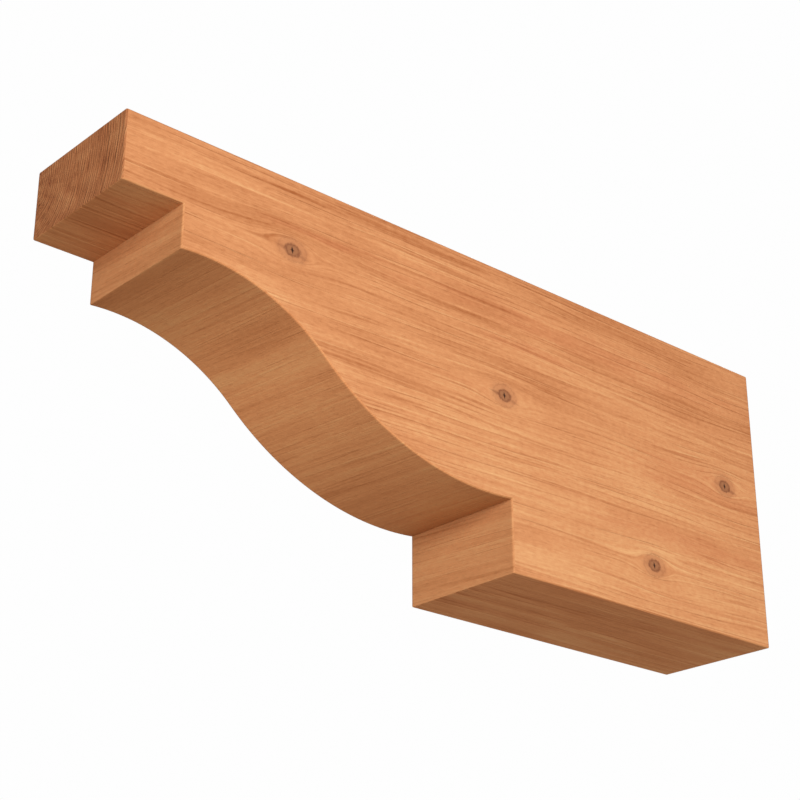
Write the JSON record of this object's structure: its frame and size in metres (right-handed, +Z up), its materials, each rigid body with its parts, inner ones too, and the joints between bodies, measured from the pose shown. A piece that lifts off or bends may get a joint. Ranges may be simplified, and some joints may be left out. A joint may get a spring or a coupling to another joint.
{
  "type": "rafter tail",
  "caption": "Solid timber rafter tail: square nose, stepped lip, ogee underside and a full-depth foot, fixed by its flat back face under the eaves.",
  "frame": {"origin": "centre of the flat back face, where the tail meets the building", "axes": "+Y out of the back face into the building, so the tail points along -Y; +Z up; X along the timber's thickness"},
  "size_m": [0.105, 0.61, 0.232],
  "materials": {
    "cedar": "matte"
  },
  "bodies": {
    "root": {"rafter_tail": "cedar"}
  },
  "joints": []
}
